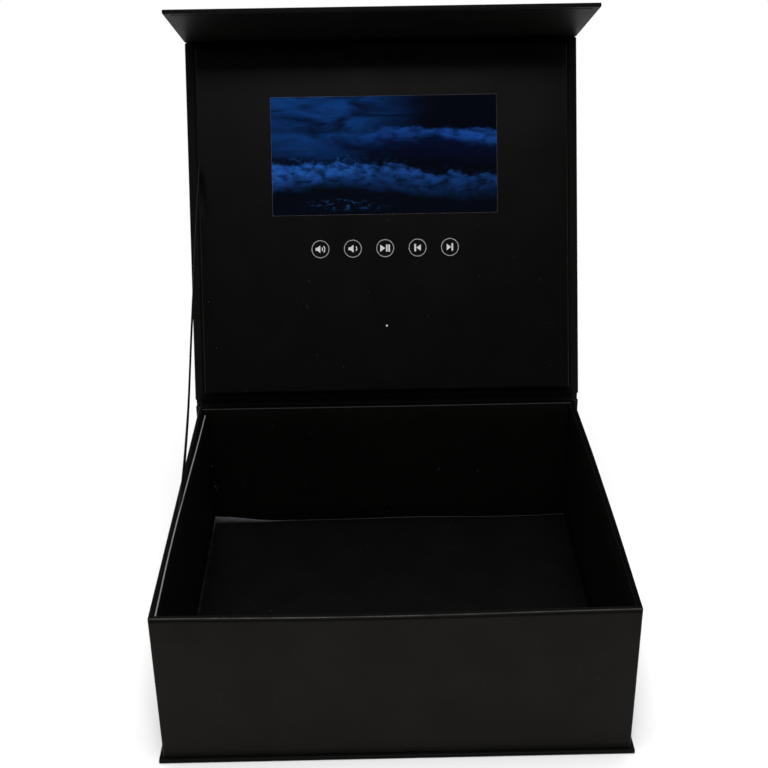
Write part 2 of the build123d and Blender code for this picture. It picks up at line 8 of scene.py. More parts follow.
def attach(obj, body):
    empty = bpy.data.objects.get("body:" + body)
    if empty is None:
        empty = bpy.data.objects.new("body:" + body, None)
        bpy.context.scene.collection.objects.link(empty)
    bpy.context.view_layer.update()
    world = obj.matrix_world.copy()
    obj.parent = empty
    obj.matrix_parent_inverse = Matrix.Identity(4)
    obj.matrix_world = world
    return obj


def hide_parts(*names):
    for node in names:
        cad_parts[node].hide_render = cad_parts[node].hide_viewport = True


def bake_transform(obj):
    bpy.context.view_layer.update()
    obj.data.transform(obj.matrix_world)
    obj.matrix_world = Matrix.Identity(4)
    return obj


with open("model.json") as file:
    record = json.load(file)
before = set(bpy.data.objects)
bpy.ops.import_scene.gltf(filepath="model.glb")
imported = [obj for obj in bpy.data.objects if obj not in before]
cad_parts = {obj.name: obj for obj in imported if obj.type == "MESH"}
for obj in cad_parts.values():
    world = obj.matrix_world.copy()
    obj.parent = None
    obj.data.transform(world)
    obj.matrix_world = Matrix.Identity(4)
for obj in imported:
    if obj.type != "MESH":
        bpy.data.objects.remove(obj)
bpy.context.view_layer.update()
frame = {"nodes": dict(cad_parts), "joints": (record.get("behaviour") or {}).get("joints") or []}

# Presentation box with a screen in its opened lid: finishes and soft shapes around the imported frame.
# Metres, in the frame's own axes. Lid coordinates are x across, s along the lid from its hinge, and n out
# of its inner face.
MM = 0.001

# ---- places read from the frame
JOINTS = {joint["name"]: joint for joint in frame["joints"]}
PIVOT = Vector(JOINTS["lid_hinge"]["pos_m"])
LEAN = radians(JOINTS["lid_hinge"]["range_deg"][1] - 90)
ALONG = Vector((0, sin(LEAN), cos(LEAN)))
OUT = Vector((0, -cos(LEAN), sin(LEAN)))
LID = Matrix((
    (1, 0, 0, PIVOT.x),
    (0, ALONG.y, OUT.y, PIVOT.y),
    (0, ALONG.z, OUT.z, PIVOT.z),
    (0, 0, 0, 1),
))
KEYS = ("volume_up", "volume_down", "play_pause", "previous", "next")


def limits(node, inverse=None):
    """Lowest and highest corner of a node, in the frame's axes or, with LID's inverse, in the lid's."""
    points = [v.co.copy() for v in frame["nodes"][node].data.vertices]
    if inverse is not None:
        points = [inverse @ p for p in points]
    low = Vector([min(p[i] for p in points) for i in range(3)])
    high = Vector([max(p[i] for p in points) for i in range(3)])
    return low, high


def lid_limits(node):
    """Lowest and highest (x, s, n) of a node."""
    return limits(node, LID.inverted())


def middle(box):
    return (box[0] + box[1]) / 2


TRAY = limits("tray_wrap")
BASE = limits("base_wrap")
BLOCK = lid_limits("facing_card")
LID_PANEL = lid_limits("lid_wrap")
FLAP_PANEL = lid_limits("flap_wrap")
GLASS = lid_limits("screen_glass")
RIM = TRAY[1].z
INNER_BACK = limits("liner_back")[1].y

# ---- sizes of what is only finish
WALL = 2.5 * MM             # tray wall with its wrap
PAPER = 0.25 * MM
LINING = 0.2 * MM
RIM_TURN_IN = 25 * MM
FOOT_TURN_IN = 15 * MM
WINDOW_W = 153 * MM
WINDOW_H = 79.4 * MM
SAME_PLACE = 0.1 * MM       # nearer than this, two places are one
FOLD_INSET = 1 * MM         # how much narrower a folded wrap is than the cover
LINING_INSET = 9 * MM       # how much narrower a folded lining is
CARD_EDGE = 0.12 * MM       # softness of a cut card's edges
RIBBON_WIDTH = 10 * MM
RIBBON_THICKNESS = 0.3 * MM
RIBBON_WALL_Y = -6 * MM     # where it passes the tray's rim
RIBBON_WALL_TAIL = 17 * MM  # its glued length behind the left card
RIBBON_ENTRY_S = 158.3 * MM  # where it enters the block
RIBBON_ENTRY_N = 10.5 * MM
RIBBON_LID_TAIL = 5 * MM    # its glued length inside the block

# ---- tones
WRAP_TONE = (0.0078, 0.0072, 0.0064)
# near black, for painted shade
PAINTED_SHADE_BLACK = (0.0002, 0.0002, 0.0002)
DUST_GREY = (0.35, 0.35, 0.36)


# ---- modelling helpers
def only(piece):
    """Selects one object and makes it active."""
    bpy.ops.object.select_all(action="DESELECT")
    piece.select_set(True)
    bpy.context.view_layer.objects.active = piece


def named(name):
    """The object that an operator has just added, with its place moved into its mesh."""
    piece = bpy.context.object
    piece.name = name
    bpy.ops.object.transform_apply(location=True, rotation=True, scale=True)
    return piece


def open_mesh(piece, mode):
    """Makes a piece ready for picking its faces or edges, with none picked."""
    only(piece)
    bpy.ops.object.mode_set(mode="EDIT")
    bpy.ops.mesh.select_mode(type=mode)
    bpy.ops.mesh.select_all(action="DESELECT")
    bpy.ops.object.mode_set(mode="OBJECT")


def pick_faces(piece, test):
    """Selects the faces whose middle and normal pass the test, and stays in edit mode."""
    open_mesh(piece, "FACE")
    for face in piece.data.polygons:
        face.select = test(face.center, face.normal)
    bpy.ops.object.mode_set(mode="EDIT")


def pick_edges(piece, test):
    """Selects the edges whose two ends pass the test, and stays in edit mode."""
    open_mesh(piece, "EDGE")
    for edge in piece.data.edges:
        first, second = [piece.data.vertices[i].co for i in edge.vertices]
        edge.select = test(first, second)
    bpy.ops.object.mode_set(mode="EDIT")


def done():
    """Back to object mode."""
    bpy.ops.object.mode_set(mode="OBJECT")


def copied(node, name):
    """A new piece with a node's shape, its loose triangles joined."""
    piece = bpy.data.objects.new(name, frame["nodes"][node].data.copy())
    bpy.context.scene.collection.objects.link(piece)
    only(piece)
    bpy.ops.mesh.customdata_custom_splitnormals_clear()
    bpy.ops.object.mode_set(mode="EDIT")
    bpy.ops.mesh.select_all(action="SELECT")
    bpy.ops.mesh.remove_doubles(threshold=0.001 * MM)
    bpy.ops.mesh.tris_convert_to_quads()
    done()
    return piece


def sliced(piece, normal, places, matrix=None):
    """Cuts a piece across at several distances along an axis, so that it can bend there. With a matrix,
    the axis and the distances are the matrix's own."""
    only(piece)
    bpy.ops.object.mode_set(mode="EDIT")
    for place in places:
        point, direction = Vector(normal) * place, Vector(normal)
        if matrix is not None:
            direction = matrix.to_3x3() @ direction
            point = matrix @ point
        bpy.ops.mesh.select_all(action="SELECT")
        bpy.ops.mesh.bisect(plane_co=point, plane_no=direction)
    done()


def between(low, high, count):
    """Evenly spaced places inside two limits."""
    return [low + (high - low) * (i + 1) / (count + 1) for i in range(count)]


def applied(piece, modifier):
    only(piece)
    bpy.ops.object.modifier_apply(modifier=modifier.name)


def softened(piece, width):
    """Rounds the sharp edges of a piece."""
    bevel = piece.modifiers.new("soft edges", "BEVEL")
    bevel.width = width
    bevel.segments = 2
    bevel.limit_method = "ANGLE"
    bevel.angle_limit = radians(35)
    applied(piece, bevel)


def smooth(piece, angle=40):
    only(piece)
    bpy.ops.object.shade_smooth_by_angle(angle=radians(angle))


def cage(low, high, counts, moves):
    """A lattice round a box. Moves are millimetres by lattice point, counted from the lowest corner."""
    lattice = bpy.data.lattices.new("cage")
    lattice.points_u, lattice.points_v, lattice.points_w = counts
    for direction in "uvw":
        setattr(lattice, "interpolation_type_" + direction, "KEY_CARDINAL")
    holder = bpy.data.objects.new("cage", lattice)
    bpy.context.scene.collection.objects.link(holder)
    first, last = lattice.points[0].co, lattice.points[-1].co
    holder.scale = [(high[axis] - low[axis]) / (last[axis] - first[axis]) for axis in range(3)]
    holder.location = (low + high) / 2
    for (i, j, k), move in moves.items():
        point = lattice.points[i + counts[0] * (j + counts[1] * k)]
        point.co_deform += Vector([move[axis] * MM / holder.scale[axis] for axis in range(3)])
    bpy.context.view_layer.update()
    return holder


def bowed(piece, holder):
    bend = piece.modifiers.new("bow", "LATTICE")
    bend.object = holder
    applied(piece, bend)


def remembered(piece):
    """Keeps the vertices' places as they were before a bend, for the piece's finish."""
    kept = piece.data.attributes.new("unbent", "FLOAT_VECTOR", "POINT")
    for v, item in zip(piece.data.vertices, kept.data):
        item.vector = v.co


def pushed(piece, centre, radius, move):
    """Moves the skin round a point, most at the point and nothing at the radius."""
    centre, move = Vector(centre), Vector(move)
    for v in piece.data.vertices:
        share = max(0.0, 1 - (v.co - centre).length / radius)
        v.co += move * share * share * (3 - 2 * share)


def strip(name, start, width, route):
    """A band pulled along a route: start is its first edge's middle, width the edge as a vector."""
    bpy.ops.mesh.primitive_plane_add(size=1)
    piece = named(name)
    start, half = Vector(start), Vector(width) / 2
    first = Vector(route[0]) - start
    corners = [start - half, start + half, start + first - half, start + first + half]
    for v, corner in zip(piece.data.vertices, corners):
        v.co = corner
    here = Vector(route[0])
    pick_edges(piece, lambda a, b: ((a + b) / 2 - here).length < 0.01 * MM)
    for point in route[1:]:
        bpy.ops.mesh.extrude_region_move(TRANSFORM_OT_translate={"value": Vector(point) - here})
        here = Vector(point)
    done()
    return piece


def thickened(piece, thickness, offset=0.0):
    wall = piece.modifiers.new("thickness", "SOLIDIFY")
    wall.thickness = thickness
    wall.offset = offset
    applied(piece, wall)


def rounded(piece, levels=1):
    skin = piece.modifiers.new("round", "SUBSURF")
    skin.boundary_smooth = "PRESERVE_CORNERS"
    skin.levels = levels
    skin.render_levels = levels
    applied(piece, skin)


def flat_shape(name, outlines, thickness):
    """A printed mark: closed outlines in millimetres, one inside another being a hole."""
    curve = bpy.data.curves.new(name, "CURVE")
    curve.dimensions = "2D"
    curve.fill_mode = "BOTH"
    curve.extrude = thickness / 2
    for outline in outlines:
        spline = curve.splines.new("POLY")
        spline.points.add(len(outline) - 1)
        for point, (x, y) in zip(spline.points, outline):
            point.co = (x * MM, y * MM, 0, 1)
        spline.use_cyclic_u = True
    piece = bpy.data.objects.new(name, curve)
    bpy.context.scene.collection.objects.link(piece)
    only(piece)
    bpy.ops.object.convert(target="MESH")
    return bpy.context.object


def arc(radius, start, end, steps, centre=(0, 0)):
    """Points on an arc, in millimetres and degrees."""
    turns = [radians(start + (end - start) * i / steps) for i in range(steps + 1)]
    return [(centre[0] + radius * cos(t), centre[1] + radius * sin(t)) for t in turns]


# ---- finishes
class Value:
    """A shader socket that takes part in sums like a number."""

    def __init__(self, finish, socket):
        self.finish = finish
        self.socket = socket

    def maths(self, operation, first, *others):
        return self.finish.node("ShaderNodeMath", {"operation": operation}, first, *others)

    def __add__(self, other):
        return self.maths("ADD", self, other)

    def __sub__(self, other):
        return self.maths("SUBTRACT", self, other)

    def __rsub__(self, other):
        return self.maths("SUBTRACT", other, self)

    def __mul__(self, other):
        return self.maths("MULTIPLY", self, other)

    def __truediv__(self, other):
        return self.maths("DIVIDE", self, other)

    def __gt__(self, other):
        return self.maths("GREATER_THAN", self, other)

    def __lt__(self, other):
        return self.maths("LESS_THAN", self, other)

    def __abs__(self):
        return self.maths("ABSOLUTE", self)

    def least(self, other):
        return self.maths("MINIMUM", self, other)

    def most(self, other):
        return self.maths("MAXIMUM", self, other)

    def power(self, other):
        return self.maths("POWER", self, other)

    def sine(self):
        return self.maths("SINE", self)

    def ramp(self, low, high, to_low=0.0, to_high=1.0):
        """Smoothly from one value to another while this goes from low to high."""
        return self.finish.node(
            "ShaderNodeMapRange",
            {"interpolation_type": "SMOOTHSTEP", "clamp": True},
            self, float(low), float(high), to_low, to_high,
        )


class Finish:
    """One material: a principled shader and the nodes that feed it."""

    def __init__(self, name, **constants):
        self.material = bpy.data.materials.new(name)
        self.material.use_nodes = True
        self.tree = self.material.node_tree
        self.shader = self.tree.nodes["Principled BSDF"]
        for socket, value in constants.items():
            self.shader.inputs[socket.replace("_", " ")].default_value = value
        place = self.tree.nodes.new("ShaderNodeTexCoord")
        self.place = Value(self, place.outputs["Object"])

    def node(self, kind, settings, *inputs, output=0, **named_inputs):
        made = self.tree.nodes.new(kind)
        for name, value in settings.items():
            setattr(made, name, value)
        sockets = [s for s in made.inputs if s.enabled] if inputs else []
        pairs = list(zip(sockets, inputs))
        pairs += [(made.inputs[name.replace("_", " ")], value) for name, value in named_inputs.items()]
        for socket, value in pairs:
            if isinstance(value, Value):
                self.tree.links.new(value.socket, socket)
            else:
                socket.default_value = value
        return Value(self, made.outputs[output])

    def feed(self, socket, value):
        self.tree.links.new(value.socket, self.shader.inputs[socket])

    def noise(self, scale, detail=2.0, rough=0.5, place=None, warp=0.0):
        return self.node(
            "ShaderNodeTexNoise", {}, Vector=place or self.place,
            Scale=scale, Detail=detail, Roughness=rough, Distortion=warp,
        )

    def cells(self, scale, feature="F1", place=None):
        return self.node(
            "ShaderNodeTexVoronoi", {"feature": feature}, Vector=place or self.place, Scale=scale,
        )

    def moved(self, location=(0, 0, 0), rotation=(0, 0, 0), scale=(1, 1, 1), place=None):
        """Coordinates in another frame: its origin, its turn and its unit lengths."""
        return self.node(
            "ShaderNodeMapping", {"vector_type": "TEXTURE"}, Vector=place or self.place,
            Location=location, Rotation=rotation, Scale=scale,
        )

    def unbent_place(self):
        """Coordinates from before the piece was bent."""
        return self.node("ShaderNodeAttribute", {"attribute_name": "unbent"}, output=1)

    def lid_place(self):
        """Coordinates (x, s, n) of the opened lid."""
        return self.moved(tuple(PIVOT), (pi / 2 - LEAN, 0, 0))

    def parts(self, place=None):
        made = self.tree.nodes.new("ShaderNodeSeparateXYZ")
        self.tree.links.new((place or self.place).socket, made.inputs[0])
        return [Value(self, socket) for socket in made.outputs]

    def mix(self, factor, first, second):
        """A colour between two colours."""
        made = self.tree.nodes.new("ShaderNodeMix")
        made.data_type = "RGBA"
        for socket, value in zip([made.inputs[0], made.inputs[6], made.inputs[7]], [factor, first, second]):
            if isinstance(value, Value):
                self.tree.links.new(value.socket, socket)
            elif isinstance(value, (int, float)):
                socket.default_value = value
            else:
                socket.default_value = (*value, 1.0)
        return Value(self, made.outputs[2])

    def bump(self, height, distance, strength):
        return self.node(
            "ShaderNodeBump", {}, Strength=strength, Distance=distance, Height=height,
        )

    def edges(self, low, high, width, place=None):
        """1 along the edges of a box and 0 further than width from them."""
        near = []
        for value, a, b in zip(self.parts(place), low, high):
            depth = (b - a) / 2 - abs(value - (a + b) / 2)
            near.append(depth.ramp(0, width, 1.0, 0.0))
        x, y, z = near
        return x.least(y).most(y.least(z)).most(x.least(z))


def paper(
    name, colour, rough, grain, specular, box=None, on_lid=False, bent=False, edge_wear_and_highlight=0.0,
    worn_and_lit_colour=(0.06, 0.06, 0.058), scuffs=0.15, dust=0.0, cut=None, cut_and_highlight_colour=None, fold=None,
):
    """Black paper or card: fibre grain, slow mottling, scuffs and, where given, rubbed edges partly
    lightened as a painted highlight, and dust.
    Two tests, where given, mark cut edges, some lightened as a painted highlight, and painted shade in dark
    folds and on the tray's rim."""
    made = Finish(name, Roughness=rough, Specular_IOR_Level=specular)
    place = made.place
    if on_lid:
        place = made.lid_place()
    if bent:
        place = made.unbent_place()
    fibre = made.noise(2600.0 * grain, 4.0, 0.6, place)
    mottle = made.noise(38.0, 3.0, 0.55, place)
    board = made.noise(14.0, 1.0, 0.4, place)
    streaks = made.noise(60.0, 3.0, 0.6, made.moved(scale=(1, 0.12, 0.35), place=place), 0.6)
    scuff = streaks.ramp(0.66, 0.8) * scuffs
    tone = made.mix(mottle.ramp(0.3, 0.7), [c * 0.9 for c in colour], [c * 1.12 for c in colour])
    tone = made.mix(scuff, tone, [c * 2.2 + 0.01 for c in colour])
    # rubbed edges lightened: wear, and on the tray's rim and the block's left edge a painted highlight
    if edge_wear_and_highlight:
        rubbed_and_lit = made.noise(45.0, 3.0, 0.6, place).ramp(0.3, 0.7, 0.35, 1.0)
        rubbed_and_lit = rubbed_and_lit * made.noise(600.0, 2.0).ramp(0.2, 0.7, 0.6, 1.0)
        tone = made.mix(made.edges(*box, 0.6 * MM, place) * rubbed_and_lit * edge_wear_and_highlight, tone, worn_and_lit_colour)
    if dust:
        specks = made.cells(430.0, place=place).ramp(0.06, 0.1, 1.0, 0.0)
        rare = made.noise(210.0, 1.0, 0.5, place).ramp(0.66, 0.7)
        tone = made.mix(specks * rare * dust, tone, DUST_GREY)
    # a cut edge's colour; on the floor card's curl it is a painted highlight
    if cut is not None:
        tone = made.mix(cut(made, place), tone, cut_and_highlight_colour)
    shine = (mottle - 0.5) * 0.16 + (fibre - 0.5) * 0.1 + rough - scuff * 0.3
    # painted shade: the fold test's mask darkens the colour to near black
    if fold is not None:
        painted_shade_mask = fold(made, place)
        tone = made.mix(painted_shade_mask, tone, PAINTED_SHADE_BLACK)
        shine = shine + painted_shade_mask * 0.5
    made.feed("Base Color", tone)
    made.feed("Roughness", shine)
    made.feed("Normal", made.bump(fibre * 0.02 + board * 0.6, 0.25 * MM, 0.8))
    return made.material


def seen_edge(top, back):
    """A test for a finish: the cut edge on top of a liner, dark again near the back corner."""
    def mask(made, place):
        _, y, z = made.parts(place)
        return z.ramp(top - 0.25 * MM, top - 0.15 * MM) * (back - y).ramp(8 * MM, 9 * MM)

    return mask


def window_edge(made, place):
    """The cut card round the screen's window."""
    x, s, _ = made.parts(place)
    centre = middle(GLASS)
    line = 0.06 * MM
    inside = (abs(x - centre.x) < WINDOW_W / 2 + line) * (abs(s - centre.y) < WINDOW_H / 2 + line)
    return inside * made.noise(500.0, 2.0, 0.5, place).ramp(0.2, 0.6, 0.75, 1.0)


def rim_painted_shade(made, place):
    """Painted shade on the tray's rim: its flat top, its right side and the dip below its front edge."""
    x, y, z = made.parts(place)
    top = (z > RIM - 0.4 * MM) * (1 - made.edges(*TRAY, 1.0 * MM, place)) * 0.7
    right = (z > RIM - 0.7 * MM) * (x > TRAY[1].x - 3.0 * MM) * (y > TRAY[0].y + 1.5 * MM) * 0.9
    dip = abs(z - RIM + 1.9 * MM).ramp(0.3 * MM, 1.3 * MM, 0.65, 0.0) * (y < TRAY[0].y + 0.5 * MM)
    return top.most(right).most(dip)


def turned_in_shade(level, share):
    """A test for a finish: painted shade on the wrap where it turns in at the top of a panel."""
    def mask(made, place):
        return made.parts(place)[2].ramp(level - 1.0 * MM, level - 0.3 * MM) * share

    return mask


def ribbon_crease_shade(made, place):
    """Painted shade in the fold that the ribbon pulls into the block's cover, from its entry down and
    inwards.
    """
    x, s, _ = made.parts(place)
    top, length, reach, start = 154.5 * MM, 29 * MM, 2.6 * MM, 0.6 * MM
    down = (top - s) / length
    aside = x - BLOCK[0].x - down * down * reach - start
    line = abs(aside).ramp(0.15 * MM, 0.9 * MM, 1.0, 0.0)
    return line * down.ramp(0.0, 0.08) * down.ramp(0.45, 1.0, 1.0, 0.0)


def satin():
    """Black satin ribbon: fine threads both ways with a soft shine."""
    made = Finish("satin ribbon", Roughness=0.5, Specular_IOR_Level=0.06)
    place = made.lid_place()
    _, s, n = made.parts(place)
    cross_pitch, long_pitch = 0.35 * MM, 0.5 * MM
    across = (n * (2 * pi / cross_pitch)).sine() * 0.5 + 0.5
    run = (s * (2 * pi / long_pitch)).sine() * 0.5 + 0.5
    thread = made.noise(1500.0, 2.0, 0.5, place)
    weave_and_sheen = across * 0.5 + thread * 0.5
    # the lighter thread colour is partly painted sheen
    made.feed("Base Color", made.mix(weave_and_sheen, (0.009, 0.0085, 0.009), (0.022, 0.021, 0.022)))
    made.feed("Roughness", across * 0.12 + thread * 0.1 + 0.44)
    made.feed("Normal", made.bump(across * 0.6 + run * 0.4, 0.05 * MM, 0.6))
    return made.material


def seascape():
    """The lit screen: a dark blue sea under a heavy sky. u and v run from -1 to 1 over the window."""
    night, lit_sky = (0.0002, 0.0010, 0.0034), (0.0035, 0.034, 0.155)
    cloud, cloud_edge = (0.0003, 0.0024, 0.016), (0.008, 0.058, 0.28)
    sea, crest_blue = (0.0002, 0.0013, 0.0036), (0.016, 0.105, 0.45)
    spray_blue, foam_blue = (0.011, 0.078, 0.32), (0.018, 0.09, 0.30)
    made = Finish("lit screen", Roughness=0.12, Specular_IOR_Level=0.02)
    centre = middle(GLASS)
    corner = tuple(LID @ Vector((centre.x, centre.y, 0)))
    window = made.moved(corner, (pi / 2 - LEAN, 0, 0), (WINDOW_W / 2, WINDOW_H / 2, 1))
    u, v, _ = made.parts(window)
    billow = made.noise(2.6, 4.0, 0.55, window, 0.5) - 0.5
    puffs = made.noise(8.5, 5.0, 0.6, window, 0.3)
    mist = made.noise(3.6, 5.0, 0.55, made.moved(scale=(2.0, 1, 1), place=window), 0.9)
    # sky, lit from the upper left
    from_light = (u + 0.66) * (u + 0.66) * 0.9 + (v - 0.85) * (v - 0.85) * 0.7
    glow = from_light.ramp(0.0, 1.3, 1.0, 0.0).power(1.8)
    tone = made.mix(glow * mist.ramp(0.32, 0.68, 0.12, 1.0), night, lit_sky)
    # a bank of cloud coming in from the right, its upper edge lit
    bank_top = (u * 3.1 + 0.4).sine() * 0.09 + billow * 0.55 + 0.4
    below_top = bank_top - v
    reach = u.ramp(-0.7, -0.25)
    body = below_top.ramp(0.0, 0.1) * (v + puffs * 0.3 + u * 0.12).ramp(0.0, 0.4) * reach
    tone = made.mix(body * 0.9, tone, cloud)
    lit = below_top.ramp(-0.04, 0.03) * below_top.ramp(0.03, 0.3, 1.0, 0.0) * reach
    lit = lit * puffs.ramp(0.3, 0.65, 0.25, 1.0)
    tone = made.mix(lit * u.ramp(-0.5, 0.6, 0.35, 0.9), tone, cloud_edge)
    # a breaking wave that falls away to the right
    crest = (u * 2.3 - 0.5).sine() * -0.13 + billow * 0.42 - 0.22 + (puffs - 0.5) * 0.22
    below_crest = crest - v
    tone = made.mix(below_crest.ramp(0.0, 0.08), tone, sea)
    band = below_crest.ramp(-0.02, 0.06) * below_crest.ramp(0.05, 0.5, 1.0, 0.0)
    band = band * puffs.ramp(0.32, 0.68, 0.12, 1.0)
    tone = made.mix(band * u.ramp(-1.0, 0.9, 0.95, 0.3), tone, crest_blue)
    spray = below_crest.ramp(-0.16, 0.02) * below_crest.ramp(0.0, 0.06, 1.0, 0.0)
    spray = spray * u.ramp(-0.9, 0.5, 1.0, 0.1)
    drops = made.noise(14.0, 6.0, 0.7, window, 0.4).ramp(0.48, 0.72)
    tone = made.mix(spray * drops * 0.7, tone, spray_blue)
    # loose foam near the bottom
    loose = abs(v + 0.83).ramp(0.0, 0.14, 1.0, 0.0) * abs(u + 0.35).ramp(0.05, 0.45, 1.0, 0.0)
    flecks = made.noise(16.0, 4.0, 0.6, window, 0.8).ramp(0.5, 0.68)
    tone = made.mix(loose * flecks * 0.5, tone, foam_blue)
    made.feed("Emission Color", tone)
    made.shader.inputs["Emission Strength"].default_value = 1.0
    made.feed("Base Color", made.mix(mist, (0.0008, 0.0008, 0.0012), (0.0012, 0.0012, 0.002)))
    made.feed("Roughness", made.noise(120.0, 3.0).ramp(0.3, 0.7, 0.08, 0.16))
    return made.material


def plastic(name, colour, rough=0.5, grain=1.0, specular=0.4, metallic=0.0):
    """Moulded or sheet material with a fine grain and slight rub marks."""
    made = Finish(name, Roughness=rough, Specular_IOR_Level=specular, Metallic=metallic)
    fine = made.noise(3200.0 * grain, 3.0, 0.6)
    slow = made.noise(160.0, 3.0, 0.5)
    dark, light = [c * 0.86 for c in colour], [c * 1.14 for c in colour]
    made.feed("Base Color", made.mix(slow.ramp(0.3, 0.7), dark, light))
    made.feed("Roughness", (fine - 0.5) * 0.2 + (slow - 0.5) * 0.12 + rough)
    made.feed("Normal", made.bump(fine, 0.03 * MM, 0.6))
    return made.material


def circuit():
    """Green circuit board with fine copper lines under the mask."""
    made = Finish("circuit board", Roughness=0.35, Specular_IOR_Level=0.5)
    place = made.lid_place()
    lines = made.cells(320.0, "DISTANCE_TO_EDGE", place).ramp(0.05, 0.1, 1.0, 0.0)
    pads = made.cells(520.0, place=place).ramp(0.12, 0.16, 1.0, 0.0)
    tone = made.mix(lines * 0.6, (0.008, 0.085, 0.03), (0.02, 0.17, 0.06))
    made.feed("Base Color", made.mix(pads, tone, (0.55, 0.52, 0.42)))
    made.feed("Roughness", lines * 0.15 + 0.3)
    made.feed("Normal", made.bump(lines * 0.5 + pads, 0.05 * MM, 0.5))
    return made.material


def foam():
    """Dark open-cell foam."""
    made = Finish("dark foam", Roughness=0.95, Specular_IOR_Level=0.1)
    pores = made.cells(1400.0)
    made.feed("Base Color", made.mix(pores.ramp(0.1, 0.6), (0.012, 0.012, 0.013), (0.05, 0.05, 0.055)))
    made.feed("Normal", made.bump(pores, 0.3 * MM, 0.8))
    return made.material


def greyboard():
    """Grey binder's board with mixed fibres."""
    made = Finish("greyboard", Roughness=0.9, Specular_IOR_Level=0.2)
    fibres = made.noise(900.0, 6.0, 0.7, made.moved(scale=(2.2, 1, 1)))
    flecks = made.noise(420.0, 2.0, 0.5).ramp(0.62, 0.72)
    tone = made.mix(fibres, (0.30, 0.28, 0.26), (0.46, 0.44, 0.41))
    made.feed("Base Color", made.mix(flecks * 0.5, tone, (0.16, 0.15, 0.14)))
    made.feed("Normal", made.bump(fibres, 0.1 * MM, 0.6))
    return made.material


def metal(name, colour, rough):
    """Plated or tinned metal with a fine drawn grain."""
    made = Finish(name, Metallic=1.0, Roughness=rough)
    drawn = made.noise(700.0, 4.0, 0.6, made.moved(scale=(0.08, 1, 1)))
    spots = made.noise(90.0, 3.0, 0.5)
    made.feed("Base Color", made.mix(spots.ramp(0.3, 0.75), [c * 0.85 for c in colour], colour))
    made.feed("Roughness", drawn * 0.14 + spots * 0.1 + rough - 0.1)
    made.feed("Normal", made.bump(drawn, 0.02 * MM, 0.5))
    return made.material


def ink(name, level):
    """Screen print with a slightly uneven ink film."""
    made = Finish(name, Roughness=0.5, Specular_IOR_Level=0.3)
    film = made.noise(2400.0, 3.0, 0.6)
    made.feed("Base Color", made.mix(film.ramp(0.3, 0.75), [level * 0.88] * 3, [level * 1.06] * 3))
    made.feed("Normal", made.bump(film, 0.01 * MM, 0.4))
    return made.material


def dress(piece, material):
    """Gives a piece or a node its finish."""
    if piece.data.materials:
        for index in range(len(piece.data.materials)):
            piece.data.materials[index] = material
    else:
        piece.data.materials.append(material)


def finished(piece, material, body, slot, *nodes):
    """Gives a rigid piece its finish and body, and takes the place of the nodes it stands for. Its slot is
    not used.
    """
    dress(piece, material)
    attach(piece, body)
    if nodes:
        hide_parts(*nodes)


# ---- tray
def tray_cage():
    """How the walls' rims have bowed: the front outwards and down a little, the right side outwards."""
    front = (0.0, -0.6, -0.7, -0.4, 0.2)
    sag = (0.0, -0.5, -0.8, -0.3, 0.0)
    right = (0.0, 0.5, 0.6, 0.3, -0.6)
    moves = {}
    for i, (push, drop) in enumerate(zip(front, sag)):
        moves[i, 0, 1] = Vector((0, push, drop))
    for j, push in enumerate(right):
        moves[4, j, 1] = moves.get((4, j, 1), Vector()) + Vector((push, 0, 0))
    return cage(TRAY[0], TRAY[1], (5, 5, 2), moves)


def tray_skin(holder, material):
    """The wrap over the tray: under the foot, up the walls, over the rim and down inside."""
    low, high = TRAY
    bpy.ops.mesh.primitive_cube_add(size=1, location=middle(TRAY), scale=high - low)
    skin = named("tray_skin")
    pick_faces(skin, lambda centre, normal: normal.z > 0.9)
    bpy.ops.mesh.inset(thickness=WALL)
    bpy.ops.mesh.extrude_region_move(TRANSFORM_OT_translate={"value": (0, 0, -RIM_TURN_IN)})
    bpy.ops.mesh.delete(type="FACE")
    done()
    pick_faces(skin, lambda centre, normal: normal.z < -0.9)
    bpy.ops.mesh.inset(thickness=FOOT_TURN_IN)
    bpy.ops.mesh.delete(type="FACE")
    done()

    def box_corner(point):
        nearest = [min(abs(point[i] - low[i]), abs(point[i] - high[i])) for i in range(3)]
        return sum(distance < SAME_PLACE for distance in nearest) >= 2

    def wrapped_edge(a, b):
        """An edge of the whole box, or one along the rim's inside, but no mitre line on the rim."""
        on_rim = min(a.z, b.z) > high.z - SAME_PLACE
        mitre = abs(a.x - b.x) > SAME_PLACE and abs(a.y - b.y) > SAME_PLACE
        return (box_corner(a) and box_corner(b)) or (on_rim and not mitre)

    pick_edges(skin, wrapped_edge)
    bpy.ops.mesh.bevel(offset=0.6 * MM, segments=3)
    done()
    sliced(skin, (1, 0, 0), between(low.x, high.x, 13))
    sliced(skin, (0, 1, 0), between(low.y, high.y, 13))
    sliced(skin, (0, 0, 1), between(low.z, high.z, 4))
    remembered(skin)
    bowed(skin, holder)
    thickened(skin, PAPER, -1.0)
    smooth(skin)
    finished(skin, material, "box", "wrap_black", "tray_wrap")


def tray_cores(holder, board, steel):
    """The boards and steel discs inside the walls, bowed with them."""
    cores = {
        "tray_front_board": "tray_front_core", "tray_back_board": "tray_back_core",
        "tray_left_board": "tray_left_core", "tray_right_board": "tray_right_core",
        "catch_plates": "catch_discs",
    }
    long_side = 100 * MM
    for node, name in cores.items():
        discs = node == "catch_plates"
        core = copied(node, name)
        low, high = limits(node)
        if high.x - low.x > long_side:
            sliced(core, (1, 0, 0), between(low.x, high.x, 9))
        if high.y - low.y > long_side:
            sliced(core, (0, 1, 0), between(low.y, high.y, 9))
        bowed(core, holder)
        smooth(core, 30)
        finished(core, steel if discs else board, "box", "steel" if discs else "greyboard", node)


